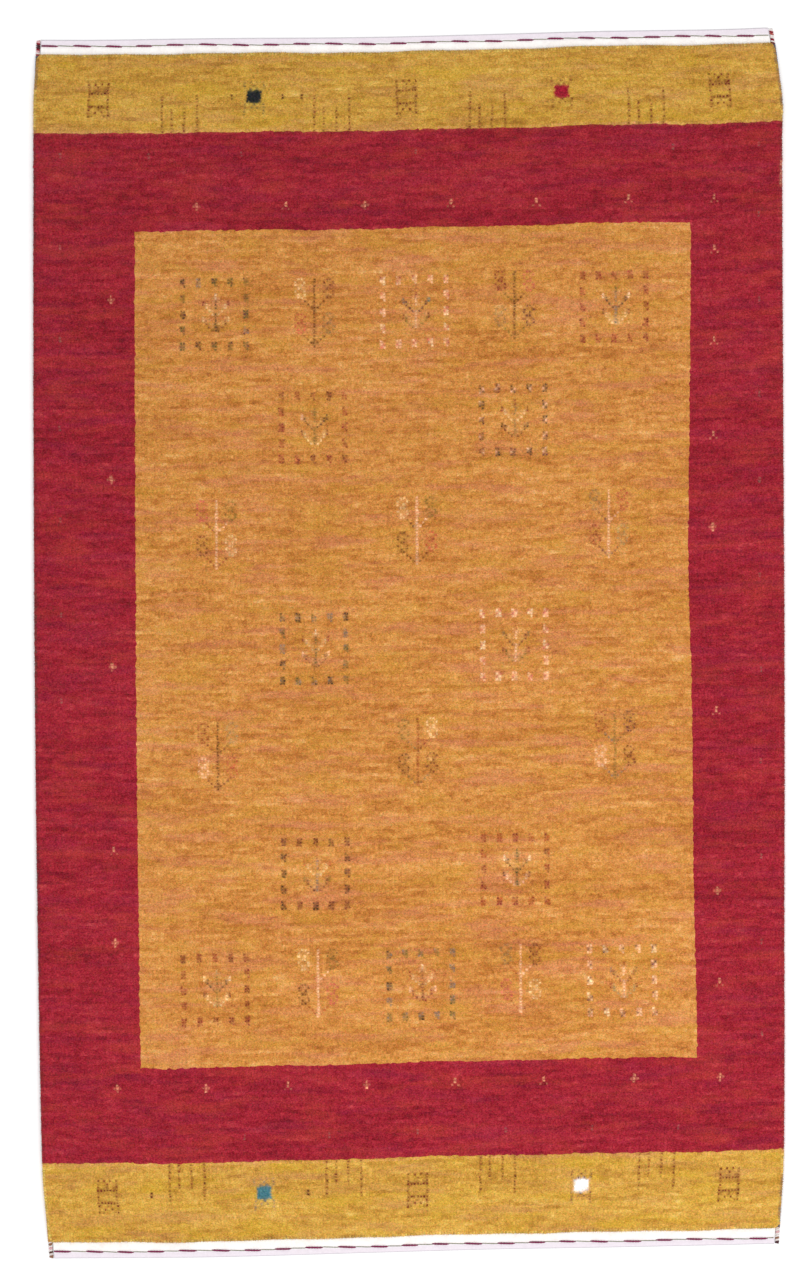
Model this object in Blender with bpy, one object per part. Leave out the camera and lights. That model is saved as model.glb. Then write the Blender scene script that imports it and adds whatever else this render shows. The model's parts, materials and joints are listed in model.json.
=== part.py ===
"""Hand-knotted gabbeh rug lying flat, pile side up.

Metres, +Z up. +Y runs along the warps to the head end, +X across to the right-hand side.
x and y are measured from the middle of the rug's box, z from the floor.
"""

import math

import bmesh
import bpy

# Cloth, pile and yarn sizes
CLOTH_THICK = 0.0015
CLEARANCE = 0.0003
HEM_DEPTH = 0.0170
HEAD_BAND = 0.0195
FOOT_BAND = 0.0205
RAMP_BEFORE_PILE = 0.0010
RAMP_UNDER_PILE = 0.0060
PILE_HEIGHT = 0.0120
CORD_THICK = 0.0050
CORD_INSET = 0.0032
CORD_OUTWARD = 0.0005
WRAP_WIDTH = 0.0060
WRAP_HEIGHT = 0.0042
WRAP_VALLEY = 0.80
WRAP_END = 0.72
LINE_INSET = 0.0080
LINE_THICK = 0.0019
LINE_WANDER = 0.0006
LINE_WAVE = 0.153
LINE_END_GAP = 0.0010
DASH_PITCH = 0.0390
DASH_SWELL = 1.15

# Steps and finish of the meshes
CLOTH_COLUMNS = 14
CLOTH_ROWS = 18
PILE_COLUMNS = 24
PILE_ROWS = 38
FOLD_STEPS = 6
CORD_POINTS = 40
WRAPS_PER_CORNER = 6
WRAP_SIDES = 10
CORD_SIDES = 8
LINE_SIDES = 6
SHARP_ANGLE = math.radians(50)
FIBRE_ROUGHNESS = 0.9

# The four edges, as uneven as hand weaving leaves them. Each row is a place along or across the rug.
SIDES = (
    # along, left edge, right edge
    (-0.755, -0.4440, 0.4560),
    (-0.690, -0.4490, 0.4590),
    (-0.600, -0.4525, 0.4618),
    (-0.350, -0.4570, 0.4620),
    (-0.050, -0.4605, 0.4622),
    (0.300, -0.4622, 0.4605),
    (0.620, -0.4622, 0.4592),
    (0.665, -0.4622, 0.4600),
    (0.710, -0.4612, 0.4560),
    (0.758, -0.4592, 0.4490),
)
ENDS = (
    # across, head edge, foot edge
    (-0.460, 0.7432, -0.7585),
    (-0.400, 0.7430, -0.7582),
    (-0.250, 0.7450, -0.7570),
    (-0.050, 0.7465, -0.7515),
    (0.100, 0.7500, -0.7475),
    (0.250, 0.7540, -0.7450),
    (0.400, 0.7562, -0.7420),
    (0.455, 0.7582, -0.7405),
)

# The pile's side view, from where it leaves the cloth to its crown. Sides overhang the cord, ends stand on the band.
PILE_RIM = (
    # side inset, side height, end inset, end height
    (0.0017, 0.0064, 0.0007, 0.0052),
    (0.0000, 0.0084, 0.0000, 0.0080),
    (0.0014, 0.0109, 0.0012, 0.0107),
    (0.0060, 0.0120, 0.0050, 0.0120),
)
PILE_BASE = (
    # side inset, side height, end inset, end height
    (0.0036, 0.0056, 0.0013, 0.0037),
    (0.0068, 0.0052, 0.0046, 0.0030),
    (0.0072, 0.0018, 0.0080, 0.0018),
    (0.0110, 0.0018, 0.0120, 0.0018),
)
CORNER_REACH = 0.070
CORNER_INSET = 0.0024

PILE_WANDER = (
    # size, wavelength, phase
    (0.0005, 0.217, 0.7),
    (0.0004, 0.094, 0.0),
)

# Soft lumps in the sheared surface
LUMPS = (
    # height, across wavelength, along wavelength, phase
    (0.00035, 0.310, 0.430, 0.4),
    (0.00025, 0.190, 0.260, 2.1),
    (0.00020, 0.530, 0.170, 4.0),
)


def curve_through(rows, column):
    """A smooth curve through one column of a table whose first column is the place."""
    places = [row[0] for row in rows]
    values = [row[column] for row in rows]
    last = len(places) - 1

    def slope(i):
        before, after = max(i - 1, 0), min(i + 1, last)
        return (values[after] - values[before]) / (places[after] - places[before])

    def value(place):
        place = min(max(place, places[0]), places[last])
        i = max(k for k in range(last) if places[k] <= place)
        span = places[i + 1] - places[i]
        t = (place - places[i]) / span
        rise = values[i + 1] - values[i]
        start, end = slope(i) * span, slope(i + 1) * span
        return values[i] + t * (start + t * (3 * rise - 2 * start - end + t * (start + end - 2 * rise)))

    return value


left_edge = curve_through(SIDES, 1)
right_edge = curve_through(SIDES, 2)
head_edge = curve_through(ENDS, 1)
foot_edge = curve_through(ENDS, 2)


def mix(a, b, share):
    return a + (b - a) * share


def eased(share):
    share = min(max(share, 0.0), 1.0)
    return share * share * (3 - 2 * share)


def pile_wander(x):
    """How far the pile's end lines wander along the bands."""
    return sum(size * math.sin(math.tau * x / length + phase) for size, length, phase in PILE_WANDER)


def rug_point(across, along, side_inset, foot_inset, head_inset, wandering=False):
    """A point of the rug's plan from shares of its width and length, held off the edges by the insets."""
    guess = mix(left_edge(0.0), right_edge(0.0), across)
    wander = pile_wander(guess) if wandering else 0.0
    y = mix(foot_edge(guess) + foot_inset + wander, head_edge(guess) - head_inset + wander, along)
    x = mix(left_edge(y) + side_inset, right_edge(y) - side_inset, across)
    return x, y


def corner_closeness(y):
    """1 at the head and foot ends of the pile, 0 away from them."""
    to_end = min(head_edge(0.0) - HEAD_BAND - y, y - foot_edge(0.0) - FOOT_BAND)
    return 1 - eased(to_end / CORNER_REACH)


def lump(x, y):
    return sum(
        height * math.sin(math.tau * x / across + phase) * math.cos(math.tau * y / along + phase)
        for height, across, along, phase in LUMPS
    )


def wool_or_cotton(name, colour):
    made = bpy.data.materials.new(name)
    made.use_nodes = True
    shader = made.node_tree.nodes["Principled BSDF"]
    shader.inputs["Base Color"].default_value = (*colour, 1.0)
    shader.inputs["Roughness"].default_value = FIBRE_ROUGHNESS
    shader.inputs["Metallic"].default_value = 0.0
    return made


def add_object(name, data, finish, parent):
    data.materials.append(finish)
    made = bpy.data.objects.new(name, data)
    bpy.context.scene.collection.objects.link(made)
    made.parent = parent
    return made


def closed_sheet(name, upper, under):
    """A mesh with an upper and an under grid of points, rows by columns, and walls round their rims."""
    bm = bmesh.new()
    rows, columns = len(upper), len(upper[0])
    top = [[bm.verts.new(point) for point in row] for row in upper]
    low = [[bm.verts.new(point) for point in row] for row in under]
    for r in range(rows - 1):
        for c in range(columns - 1):
            bm.faces.new((top[r][c], top[r][c + 1], top[r + 1][c + 1], top[r + 1][c]))
            bm.faces.new((low[r][c], low[r + 1][c], low[r + 1][c + 1], low[r][c + 1]))
    for r in range(rows - 1):
        bm.faces.new((top[r][0], top[r + 1][0], low[r + 1][0], low[r][0]))
        bm.faces.new((low[r][-1], low[r + 1][-1], top[r + 1][-1], top[r][-1]))
    for c in range(columns - 1):
        bm.faces.new((top[0][c], low[0][c], low[0][c + 1], top[0][c + 1]))
        bm.faces.new((top[-1][c], top[-1][c + 1], low[-1][c + 1], low[-1][c]))
    mesh = bpy.data.meshes.new(name)
    bm.to_mesh(mesh)
    bm.free()
    mesh.shade_smooth()
    mesh.set_sharp_from_angle(angle=SHARP_ANGLE)
    return mesh


def hem_rows(band):
    """The ground cloth at one end, from the hem's free edge round the fold to the flat cloth under the pile.

    Each row is the distance in from the fold, the height of the cloth's middle and the way its outer face looks.
    """
    middle = CLOTH_THICK / 2
    bend = middle + CLEARANCE / 2
    outer = CLOTH_THICK + CLEARANCE / 2
    rows = [(HEM_DEPTH, middle, (0.0, -1.0)), (HEM_DEPTH / 2, middle, (0.0, -1.0))]
    for step in range(FOLD_STEPS + 1):
        angle = -math.pi / 2 + math.pi * step / FOLD_STEPS
        out, up = math.cos(angle), math.sin(angle)
        rows.append((outer - bend * out, outer + bend * up, (out, up)))
    top = outer + bend
    rows += [
        (band / 2, top, (0.0, 1.0)),
        (band - RAMP_BEFORE_PILE, top, (0.0, 1.0)),
        (band + RAMP_UNDER_PILE, middle, (0.0, 1.0)),
    ]
    return rows


def ground_weave():
    """One sheet from fold to fold, with both ends turned under."""
    foot, head = hem_rows(FOOT_BAND), hem_rows(HEAD_BAND)
    foot_flat, head_flat = foot[-1][0], head[-1][0]
    places = [(0.0, distance, 0.0, height, (-out, up)) for distance, height, (out, up) in foot]
    for step in range(1, CLOTH_ROWS):
        places.append((step / CLOTH_ROWS, foot_flat, head_flat, CLOTH_THICK / 2, (0.0, 1.0)))
    places += [(1.0, 0.0, distance, height, side) for distance, height, side in reversed(head)]
    side_inset = WRAP_WIDTH + CLEARANCE
    upper, under = [], []
    for along, foot_inset, head_inset, height, (out, up) in places:
        upper.append([])
        under.append([])
        for column in range(CLOTH_COLUMNS + 1):
            x, y = rug_point(column / CLOTH_COLUMNS, along, side_inset, foot_inset, head_inset)
            half = CLOTH_THICK / 2
            upper[-1].append((x, y + out * half, height + up * half))
            under[-1].append((x, y - out * half, height - up * half))
    return closed_sheet("ground_weave", upper, under)


def rounded_corner(side_inset, end_inset, side_reach, end_reach):
    """Insets near a corner, drawn in so that the square corner of each ring becomes a round one."""
    out, off = side_reach - side_inset, end_reach - end_inset
    return (
        side_reach - out * math.sqrt(1 - (off / end_reach) ** 2 / 2),
        end_reach - off * math.sqrt(1 - (out / side_reach) ** 2 / 2),
    )


def ring_places(rings, cells):
    """Share of the way across and ring for each grid line: rings of the side view, then even cells, then rings."""
    last = len(rings) - 1
    start = [(0.0, ring) for ring in range(last)]
    middle = [(step / cells, last) for step in range(cells + 1)]
    return start + middle + [(1.0, ring) for ring in reversed(range(last))]


def rim_grid(rings, lumpy):
    """Points of the pile's outside or of its base."""
    side_reach, end_reach = rings[-1][0], rings[-1][2]
    grid = []
    for along, end_ring in ring_places(rings, PILE_ROWS):
        grid.append([])
        for across, side_ring in ring_places(rings, PILE_COLUMNS):
            side_inset, end_inset = rings[side_ring][0], rings[end_ring][2]
            side_inset, end_inset = rounded_corner(side_inset, end_inset, side_reach, end_reach)
            foot_inset, head_inset = FOOT_BAND + end_inset, HEAD_BAND + end_inset
            _, y = rug_point(across, along, side_inset, foot_inset, head_inset, wandering=True)
            side_inset += CORNER_INSET * corner_closeness(y)
            x, y = rug_point(across, along, side_inset, foot_inset, head_inset, wandering=True)
            heights = rings[side_ring][1], rings[end_ring][3]
            height = min(heights) if lumpy else max(heights)
            if lumpy:
                height += lump(x, y) * (height / PILE_HEIGHT) ** 2
            grid[-1].append((x, y, height))
    return grid


def pile():
    """The sheared wool, thicker than the cloth and rounded over at its rims."""
    return closed_sheet("pile", rim_grid(PILE_RIM, lumpy=True), rim_grid(PILE_BASE, lumpy=False))


def yarn(name, points, sides):
    """A run of yarn or cord through (x, y, z, radius) points, with filled ends and an even number of sides."""
    curve = bpy.data.curves.new(name, "CURVE")
    curve.dimensions = "3D"
    curve.twist_mode = "Z_UP"
    curve.use_fill_caps = True
    curve.bevel_depth = 1.0
    curve.bevel_resolution = sides // 2 - 2
    spline = curve.splines.new("POLY")
    spline.points.add(len(points) - 1)
    for point, (x, y, z, radius) in zip(spline.points, points):
        point.co = (x, y, z, 1.0)
        point.radius = radius
    return curve


def side_x(side, y, inset):
    return left_edge(y) + inset if side == "left" else right_edge(y) - inset


def pile_end(side, end):
    """Where the pile stops along one side."""
    x = side_x(side, 0.0, 0.0)
    return head_edge(x) - HEAD_BAND if end == "head" else foot_edge(x) + FOOT_BAND


def selvedge(side):
    """The overcast cord down one side. It lies under the pile's overhang and peeps out near the corners."""
    start, stop = pile_end(side, "foot"), pile_end(side, "head")
    radius = CORD_THICK / 2
    points = []
    for step in range(CORD_POINTS + 1):
        y = mix(start, stop, step / CORD_POINTS)
        inset = CORD_INSET - CORD_OUTWARD * corner_closeness(y)
        points.append((side_x(side, y, inset), y, radius, radius))
    return yarn(f"selvedge_{side}", points, CORD_SIDES)


def twined_line(end):
    """Two yarns twined across a band: the plum one makes fat dashes, the olive one lies thinner between them."""
    edge, inward = (head_edge, -1) if end == "head" else (foot_edge, 1)
    reach = WRAP_WIDTH + LINE_END_GAP
    y = edge(0.0)
    start, stop = left_edge(y) + reach, right_edge(y) - reach
    band_top = 2 * CLOTH_THICK + CLEARANCE
    height = band_top + CLEARANCE + LINE_THICK * DASH_SWELL / 2
    steps = round((stop - start) / (DASH_PITCH / 4))
    points = []
    for step in range(steps + 1):
        x = mix(start, stop, step / steps)
        y = edge(x) + inward * LINE_INSET + LINE_WANDER * math.sin(math.tau * x / LINE_WAVE)
        swell = DASH_SWELL if step % 4 in (1, 2) else 1 / DASH_SWELL
        points.append((x, y, height, LINE_THICK * swell / 2))
    return yarn(f"twined_line_{end}", points, LINE_SIDES)


def corner_wrap(end, side):
    """Yarn wound over and over round the side of a white band, a ridge for each turn."""
    edge, inward = (head_edge, -1) if end == "head" else (foot_edge, 1)
    inner = pile_end(side, end) - inward * CLEARANCE
    outer = edge(side_x(side, inner, 0.0))
    steps = 2 * WRAPS_PER_CORNER
    bm = bmesh.new()
    rings = []
    for step in range(steps + 1):
        y = mix(inner, outer, step / steps)
        middle = side_x(side, y, WRAP_WIDTH / 2)
        scale = WRAP_END if step in (0, steps) else (1.0 if step % 2 else WRAP_VALLEY)
        ring = bmesh.ops.create_circle(bm, segments=WRAP_SIDES, radius=scale)["verts"]
        rings.append((ring, {line for vert in ring for line in vert.link_edges}))
        for vert in ring:
            across, up = vert.co.x * WRAP_WIDTH / 2, vert.co.y * WRAP_HEIGHT / 2
            vert.co = (middle + across, y, WRAP_HEIGHT / 2 + up)
    for (_, lines), (_, next_lines) in zip(rings, rings[1:]):
        bmesh.ops.bridge_loops(bm, edges=list(lines | next_lines))
    for ring, _ in (rings[0], rings[-1]):
        bm.faces.new(ring)
    bmesh.ops.recalc_face_normals(bm, faces=bm.faces)
    mesh = bpy.data.meshes.new(f"corner_wrap_{end}_{side}")
    bm.to_mesh(mesh)
    bm.free()
    mesh.shade_smooth()
    return mesh


def build():
    for old in list(bpy.data.objects):
        bpy.data.objects.remove(old)
    rug = bpy.data.objects.new("rug", None)
    bpy.context.scene.collection.objects.link(rug)

    cotton = wool_or_cotton("undyed cotton", (0.89, 0.83, 0.80))
    amber = wool_or_cotton("amber wool", (0.60, 0.23, 0.06))
    plum = wool_or_cotton("plum and olive yarn", (0.22, 0.05, 0.11))
    slate = wool_or_cotton("slate overcast yarn", (0.12, 0.09, 0.13))
    wine = wool_or_cotton("wine overcast yarn", (0.35, 0.04, 0.08))

    add_object("ground_weave", ground_weave(), cotton, rug)
    add_object("pile", pile(), amber, rug)
    for side in ("left", "right"):
        add_object(f"selvedge_{side}", selvedge(side), slate, rug)
    for end in ("head", "foot"):
        add_object(f"twined_line_{end}", twined_line(end), plum, rug)
        for side in ("left", "right"):
            add_object(f"corner_wrap_{end}_{side}", corner_wrap(end, side), wine, rug)


build()
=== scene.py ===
import json
import math

import bmesh
import bpy
import numpy as np
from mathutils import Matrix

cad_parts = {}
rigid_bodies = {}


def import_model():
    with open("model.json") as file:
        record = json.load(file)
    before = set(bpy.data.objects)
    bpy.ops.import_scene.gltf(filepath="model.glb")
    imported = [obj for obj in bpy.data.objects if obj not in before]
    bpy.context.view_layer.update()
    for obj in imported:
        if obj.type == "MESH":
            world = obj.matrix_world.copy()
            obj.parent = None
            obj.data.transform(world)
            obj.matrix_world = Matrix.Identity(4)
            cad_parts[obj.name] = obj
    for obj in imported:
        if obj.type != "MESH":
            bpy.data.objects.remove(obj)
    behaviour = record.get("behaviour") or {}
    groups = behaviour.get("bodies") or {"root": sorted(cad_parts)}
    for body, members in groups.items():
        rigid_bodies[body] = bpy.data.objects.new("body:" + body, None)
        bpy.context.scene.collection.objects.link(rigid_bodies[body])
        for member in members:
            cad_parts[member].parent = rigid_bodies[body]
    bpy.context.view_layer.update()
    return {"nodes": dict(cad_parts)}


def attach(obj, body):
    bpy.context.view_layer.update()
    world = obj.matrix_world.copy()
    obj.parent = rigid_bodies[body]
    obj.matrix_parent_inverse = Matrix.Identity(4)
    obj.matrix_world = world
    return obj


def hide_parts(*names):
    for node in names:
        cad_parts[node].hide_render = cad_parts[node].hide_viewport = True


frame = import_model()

# A hand-knotted wool rug of the gabbeh kind, lying flat and seen from straight above.
# Lengths are in metres. Knots are counted from the left, and rows from the head.

tau = math.tau
waveTurn = tau / 20  # one stripe of the wave texture, in the texture's own units
draws = np.random.default_rng(23)

rugPlan = {
    "sides": (  # place along the rug, left edge, right edge
        (-0.755, -0.4440, 0.4560), (-0.690, -0.4490, 0.4590), (-0.600, -0.4525, 0.4618),
        (-0.350, -0.4570, 0.4620), (-0.050, -0.4605, 0.4622), (0.300, -0.4622, 0.4605),
        (0.620, -0.4622, 0.4592), (0.665, -0.4622, 0.4600), (0.710, -0.4612, 0.4560),
        (0.758, -0.4592, 0.4490),
    ),
    "ends": (  # place across the rug, head edge, foot edge
        (-0.460, 0.7432, -0.7585), (-0.400, 0.7430, -0.7582), (-0.250, 0.7450, -0.7570),
        (-0.050, 0.7465, -0.7515), (0.100, 0.7500, -0.7475), (0.250, 0.7540, -0.7450),
        (0.400, 0.7562, -0.7420), (0.455, 0.7582, -0.7405),
    ),
    # how far the field's right side has moved out, from foot to head, and the share of the
    # width where that starts, the share it takes to grow, and the share it takes to fade
    "bow": (
        (-0.75, 0.0), (-0.48, 0.0046), (-0.30, 0.0010), (-0.10, -0.0004),
        (0.10, -0.0046), (0.30, -0.0018), (0.48, 0.0),
    ),
    "bowShares": (0.62, 0.26, 0.11),
    "drawnIn": 0.0024,       # how far the pile draws in at the corners
    "drawnInReach": 0.070,   # and over what length
    "headBand": 0.0195,
    "footBand": 0.0205,
    "wander": ((0.0005, 0.217, 0.7), (0.0004, 0.094, 0.0)),  # size, wavelength, phase
}
knotsAcross = 236
knotRows = 375
knotSize = 0.0039


def curveThrough(rows, column):
    # a smooth curve through one column of a table, read at any number of places
    places = np.array([row[0] for row in rows])
    values = np.array([row[column] for row in rows])
    last = len(places) - 1
    before = np.maximum(np.arange(last + 1) - 1, 0)
    after = np.minimum(np.arange(last + 1) + 1, last)
    slopes = (values[after] - values[before]) / (places[after] - places[before])

    def value(place):
        place = np.clip(place, places[0], places[-1])
        i = np.clip(np.searchsorted(places, place, side="right") - 1, 0, last - 1)
        span = places[i + 1] - places[i]
        t = (place - places[i]) / span
        rise = values[i + 1] - values[i]
        start, end = slopes[i] * span, slopes[i + 1] * span
        return values[i] + t * (start + t * (3 * rise - 2 * start - end + t * (start + end - 2 * rise)))

    return value


leftEdge = curveThrough(rugPlan["sides"], 1)
rightEdge = curveThrough(rugPlan["sides"], 2)
headEdge = curveThrough(rugPlan["ends"], 1)
footEdge = curveThrough(rugPlan["ends"], 2)
bow = curveThrough(rugPlan["bow"], 1)


def mix(a, b, share):
    return a + (b - a) * share


def eased(share):
    share = np.clip(share, 0.0, 1.0)
    return share * share * (3 - 2 * share)


def rugPoint(across, along, sideInset, footInset, headInset, wandering=False):
    # a point of the rug's plan from shares of its width and length, held off the edges
    guess = mix(leftEdge(0.0), rightEdge(0.0), across)
    wander = 0.0
    if wandering:
        wander = sum(size * np.sin(tau * guess / wave + phase) for size, wave, phase in rugPlan["wander"])
    y = mix(footEdge(guess) + footInset + wander, headEdge(guess) - headInset + wander, along)
    x = mix(leftEdge(y) + sideInset, rightEdge(y) - sideInset, across)
    return x, y


def pilePoint(across, along, sideInset=0.0, endInset=0.0):
    # the pile's own plan: it stops short of the bands, and draws in a little at the corners
    foot, head = rugPlan["footBand"] + endInset, rugPlan["headBand"] + endInset
    y = rugPoint(across, along, sideInset, foot, head, True)[1]
    toEnd = np.minimum(headEdge(0.0) - rugPlan["headBand"] - y, y - footEdge(0.0) - rugPlan["footBand"])
    drawnIn = rugPlan["drawnIn"] * (1 - eased(toEnd / rugPlan["drawnInReach"]))
    x, y = rugPoint(across, along, sideInset + drawnIn, foot, head, True)
    start, grow, fade = rugPlan["bowShares"]
    return x + bow(y) * eased((across - start) / grow) * eased((1 - across) / fade), y


# Helpers for nodes, colours and pieces


def linear(hexCode, alpha=1.0):
    # an sRGB hex colour as the linear values that the nodes take
    parts = [int(hexCode[i:i + 2], 16) / 255 for i in (1, 3, 5)]
    return tuple(p / 12.92 if p <= 0.04045 else ((p + 0.055) / 1.055) ** 2.4 for p in parts) + (alpha,)


def addNode(tree, kind, inputs=None, **settings):
    # a node with its settings, and with each input either linked or set
    made = tree.nodes.new("ShaderNode" + kind)
    for name, value in settings.items():
        setattr(made, name, value)
    for name, value in (inputs or {}).items():
        if isinstance(value, bpy.types.NodeSocket):
            tree.links.new(value, made.inputs[name])
        else:
            made.inputs[name].default_value = value
    return made


def computed(tree, operation, *values):
    return addNode(tree, "Math", dict(enumerate(values)), operation=operation).outputs[0]


def scaled(tree, vector, factor):
    return addNode(tree, "VectorMath", {0: vector, "Scale": factor}, operation="SCALE").outputs[0]


def blended(tree, share, first, second):
    return addNode(tree, "MixRGB", {"Fac": share, "Color1": first, "Color2": second}).outputs[0]


def remapped(tree, value, fromMin, fromMax, toMin=0.0, toMax=1.0, **settings):
    return addNode(tree, "MapRange", {
        "Value": value, "From Min": fromMin, "From Max": fromMax, "To Min": toMin, "To Max": toMax,
    }, **settings).outputs[0]


def bumped(tree, height, strength, distance):
    return addNode(tree, "Bump", {"Height": height, "Strength": strength, "Distance": distance}).outputs[0]


def addSurface(tree, inputs):
    surface = addNode(tree, "BsdfPrincipled", inputs)
    addNode(tree, "OutputMaterial", {"Surface": surface.outputs[0]})


def newMaterial(name):
    made = bpy.data.materials.new(name)
    made.use_nodes = True
    made.node_tree.nodes.clear()
    return made, made.node_tree


def setStops(ramp, stops):
    elements = ramp.color_ramp.elements
    while len(elements) < len(stops):
        elements.new(0.5)
    for element, (place, hexCode) in zip(elements, stops):
        element.position = place
        element.color = linear(hexCode)


def addPiece(name, mesh, materials, body="root"):
    for material in materials:
        mesh.materials.append(material)
    piece = bpy.data.objects.new(name, mesh)
    bpy.context.scene.collection.objects.link(piece)
    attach(piece, body)
    return piece


def meshFrom(bm, name):
    mesh = bpy.data.meshes.new(name)
    bm.to_mesh(mesh)
    bm.free()
    return mesh


def raiseVerts(made, height):
    for vert in (part for part in made if isinstance(part, bmesh.types.BMVert)):
        vert.co.z = height


def openEdges(parts):
    return [part for part in parts if isinstance(part, bmesh.types.BMEdge) and part.is_boundary]


def faceOutward(mesh, closing=False):
    bm = bmesh.new()
    bm.from_mesh(mesh)
    if closing:
        bmesh.ops.remove_doubles(bm, verts=bm.verts, dist=1e-6)
        bmesh.ops.holes_fill(bm, edges=openEdges(bm.edges), sides=0)
    bmesh.ops.recalc_face_normals(bm, faces=bm.faces)
    bm.to_mesh(mesh)
    bm.free()
    mesh.shade_smooth()


def readPoints(mesh):
    points = np.empty(len(mesh.vertices) * 3)
    mesh.vertices.foreach_get("co", points)
    return points.reshape(-1, 3)


def writePoints(mesh, points):
    mesh.vertices.foreach_set("co", np.asarray(points, dtype=np.float64).ravel())
    mesh.update()


def cornerVertices(mesh):
    index = np.empty(len(mesh.loops), dtype=np.int64)
    mesh.loops.foreach_get("vertex_index", index)
    return index


def writeMap(mesh, name, coords):
    layer = mesh.uv_layers.new(name=name)
    layer.uv.foreach_set("vector", np.asarray(coords, dtype=np.float64).ravel())


def faceMiddles(mesh, perVertex):
    # the mean of a value over each face's own corners
    corners = cornerVertices(mesh)
    totals = np.empty(len(mesh.polygons), dtype=np.int64)
    mesh.polygons.foreach_get("loop_total", totals)
    owner = np.repeat(np.arange(len(totals)), totals)
    sums = np.zeros((len(totals), perVertex.shape[1]))
    for column in range(perVertex.shape[1]):
        sums[:, column] = np.bincount(owner, weights=perVertex[corners, column], minlength=len(totals))
    return sums / totals[:, None]


# The design, as charts: one letter is one knot, and a dot is the ground's own wool

yarns = {
    "ink": "#2A2018", "walnut": "#552A14", "umber": "#6A2E1C", "russet": "#86341E", "wine": "#7A1E22",
    "brick": "#A83C30", "rose": "#B84E46", "cherry": "#96142A", "plum": "#50222C", "bark": "#661E16",
    "clay": "#A04A20", "shell": "#EEB68E", "cream": "#E8BC84", "milk": "#F0C89C", "blush": "#E09A74",
    "olive": "#7C602A", "moss": "#4E4C28", "drab": "#8E6C44", "sage": "#A88A5A", "slate": "#7C6A5C",
    "teal": "#4E7C70", "lake": "#3E6E78", "sand": "#CDB850", "straw": "#E6D478", "white": "#FBF0E8",
    "black": "#1C2024", "rust": "#B06038", "dusk": "#5A5868", "pine": "#3E4438", "bone": "#F6ECE8",
    "petal": "#E8B4B8", "cocoa": "#9A6A50",
}

treeChart = (
    ".mm...s...nn.",
    "m..m..s..n..n",
    "m.m...s..n.n.",
    ".mm...s...nn.",
    "m..m..s..n..n",
    ".m.m..s...n.n",
    ".mm...s...nn.",
    "...a..s..b...",
    "....a.s.b....",
    ".....asb.....",
    "......s......",
    ".qq...s...rr.",
    "q..q..s..r..r",
    "q.q...s..r.r.",
    ".qq...s...rr.",
    "q..q..s..r..r",
    ".q.q..s...r.r",
    ".qq...s...rr.",
    "...c..s..d...",
    "....c.s.d....",
    ".....csd.....",
    "......s......",
)
plantChart = (
    "....t....",
    "...hth...",
    "u..hsh..v",
    "uah.s.hbv",
    ".ahhshhb.",
    "..ah.hb..",
    "...asb...",
    "lh..s..hm",
    "lch.s.hdm",
    ".chhshhd.",
    "..chshd..",
    "...csd...",
)
tickCharts = (
    ("xx", "yx", "xx"), ("xy", "yx", "xx"), ("x.", "xy", "yx"), ("yx", "xx", ".x"), ("xx", "xy", ".x"),
)
# a framed plant's ticks are tied with whatever was over of a few like yarns
tickYarns = {
    "green": ("moss", "ink", "slate", "moss", "olive"), "pale": ("shell", "milk", "shell"),
    "red": ("wine", "russet", "wine", "umber"), "dark": ("ink", "plum", "umber", "ink"),
}
ladderChart = (
    "x.x.x.x",
    "z..x..z",
    "x.zz.zx",
    "yyyyyyy",
    "z.....z",
    "x.....x",
    "z.....z",
    "yyyyyyy",
    "x..z..x",
    "z.x.x.z",
    "xz...zx",
)
blockChart = (
    "z.z.z.z",
    "x.hxh.x",
    "zhxhxhz",
    "hwyyywh",
    ".wyyyw.",
    ".wyyyw.",
    "hwyyywh",
    "xhhxhhx",
    "zhxhxhz",
    "xhhhhhx",
    "z.....z",
)
crossCharts = ((".x.", "yxy", ".x."), (".x.", "yxy", ".y."), (".x.", ".x.", "y.y"))

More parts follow.
